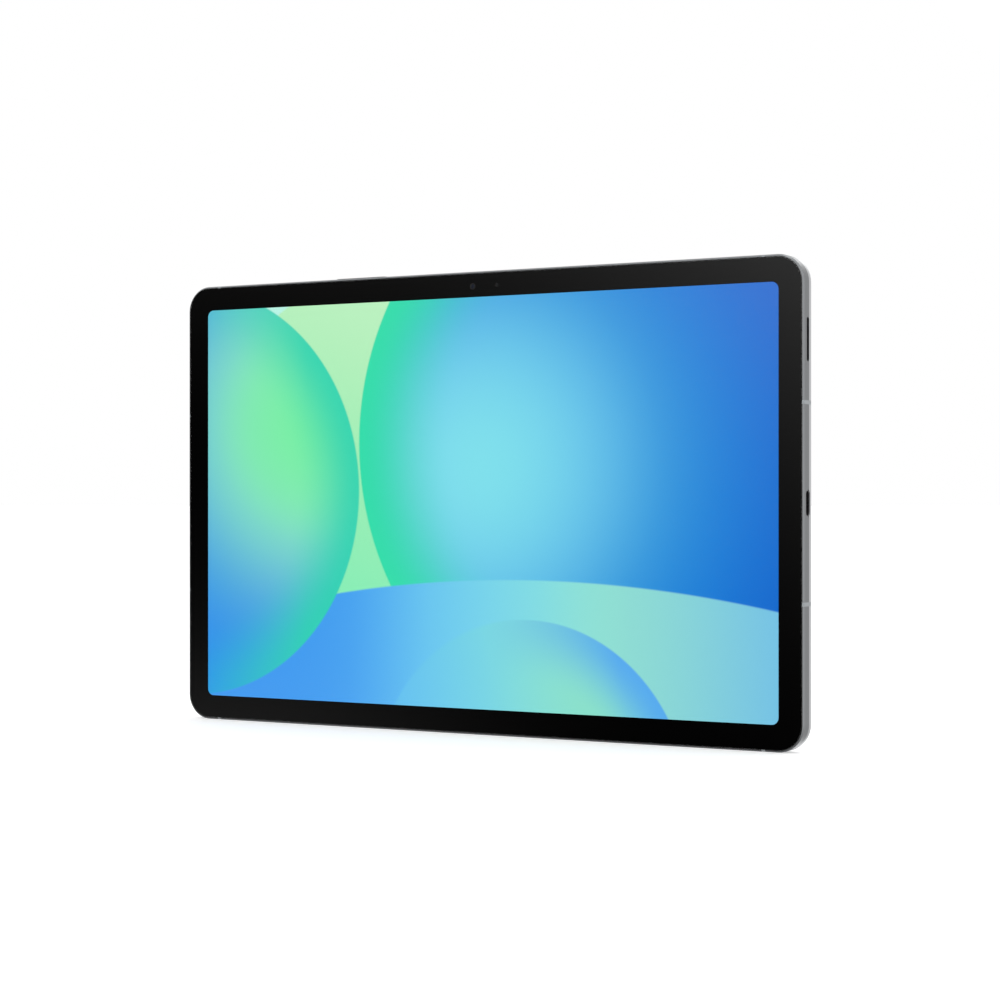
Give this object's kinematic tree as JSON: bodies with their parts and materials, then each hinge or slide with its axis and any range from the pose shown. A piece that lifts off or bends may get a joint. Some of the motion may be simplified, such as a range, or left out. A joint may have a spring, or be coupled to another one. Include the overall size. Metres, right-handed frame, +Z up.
{
  "type": "tablet computer",
  "caption": "Slim tablet computer with a one-piece metal housing, bonded glass display, side socket, speaker slots, keys and a card tray.",
  "frame": {"origin": "middle of the lower long edge, at the middle of the overall depth, on the surface the tablet stands on", "axes": "+X along the long edges towards the edge with the USB socket, screen facing -Y, +Z up towards the edge with the keys"},
  "size_m": [0.2542, 0.0076, 0.1662],
  "materials": {
    "frame_metal": "fine bead-blasted and anodised graphite, polished chamfer",
    "break_plastic": "light bluish-grey satin moulding",
    "carrier_plastic": "dark moulded plastic",
    "cover_glass": "polished clear glass",
    "mask_ink": "printed black ink",
    "tape_black": "black foam tape",
    "screen": "lit screen with an abstract picture of soft discs",
    "backlight_white": "white light guide in a thin frame",
    "plate_metal": "brushed stainless sheet",
    "ribbon_film": "amber polyimide film",
    "screw_metal": "machined steel",
    "cell_film": "black laminated pouch",
    "board_green": "green solder mask",
    "chip_black": "moulded black resin",
    "can_metal": "tinned sheet metal",
    "graphite": "graphite sheet",
    "plug_plastic": "black moulded connector",
    "usb_steel": "dark plated steel",
    "black_plastic": "black moulded plastic",
    "rubber_black": "black rubber",
    "speaker_plastic": "black moulded plastic",
    "mesh_grey": "fine dark-grey woven mesh",
    "lens_glass": "coated lens, dark blue",
    "key_metal": "anodised like the frame",
    "window_glass": "clear flat window"
  },
  "bodies": {
    "tablet": {"rear_housing": "frame_metal", "antenna_breaks": "break_plastic", "antenna_carriers": "carrier_plastic", "cover_glass": "cover_glass", "border_mask": "mask_ink", "display_adhesive": "tape_black", "display_panel": "screen", "backlight_unit": "backlight_white", "display_plate": "plate_metal", "display_ribbon": "ribbon_film", "plate_screws": "screw_metal", "battery_cell_left": "cell_film", "battery_cell_right": "cell_film", "battery_adhesive": "tape_black", "battery_board": "board_green", "battery_ribbon": "ribbon_film", "main_board": "board_green", "processor": "chip_black", "storage_chip": "chip_black", "power_chip": "chip_black", "radio_chip": "chip_black", "shield_cans": "can_metal", "heat_spreader": "graphite", "board_connectors": "plug_plastic", "board_screws": "screw_metal", "usb_board": "board_green", "usb_shell": "usb_steel", "usb_tongue": "black_plastic", "usb_gasket": "rubber_black", "usb_ribbon": "ribbon_film", "speaker_left": "speaker_plastic", "speaker_right": "speaker_plastic", "speaker_gaskets": "tape_black", "speaker_meshes": "mesh_grey", "front_camera": "black_plastic", "front_camera_lens": "lens_glass", "front_camera_ribbon": "ribbon_film", "light_sensor": "black_plastic", "rear_camera": "black_plastic", "rear_camera_lens": "lens_glass", "rear_camera_ring": "key_metal", "rear_camera_window": "window_glass", "rear_camera_ribbon": "ribbon_film", "key_switches": "can_metal", "key_ribbon": "ribbon_film", "key_bracket": "plate_metal", "microphones": "can_metal", "microphone_gaskets": "rubber_black", "card_reader": "can_metal", "eject_pivot": "screw_metal"},
    "power_key": {"power_key": "key_metal"},
    "volume_key": {"volume_key": "key_metal"},
    "card_tray": {"card_tray": "key_metal", "tray_seal": "rubber_black"},
    "eject_rod": {"eject_rod": "screw_metal"},
    "eject_lever": {"eject_lever": "screw_metal"}
  },
  "joints": [
    {"name": "power_key_press", "type": "slide", "parent": "tablet", "child": "power_key", "axis": [0, 0, -1], "range_m": [0, 0.00025], "stiffness_N_per_m": 2000, "springref_m": -0.0002},
    {"name": "volume_key_rock", "type": "hinge", "parent": "tablet", "child": "volume_key", "pos_m": [-0.0494, -0.00025, 0.16345], "axis": [0, 1, 0], "range_deg": [-1.2, 1.2], "stiffness_Nm_per_rad": 0.5},
    {"name": "card_tray_slide", "type": "slide", "parent": "tablet", "child": "card_tray", "axis": [0, 0, 1], "range_m": [0, 0.024]},
    {"name": "eject_rod_press", "type": "slide", "parent": "tablet", "child": "eject_rod", "axis": [0, 0, -1], "range_m": [0, 0.001]},
    {"name": "eject_lever_turn", "type": "hinge", "parent": "tablet", "child": "eject_lever", "pos_m": [0.046, -0.00025, 0.14115], "axis": [0, 1, 0], "range_deg": [0, 15.94]}
  ],
  "couplings": [
    {"joint": "eject_lever_turn", "follows": "eject_rod_press", "rad_per_m": 277.78}
  ]
}
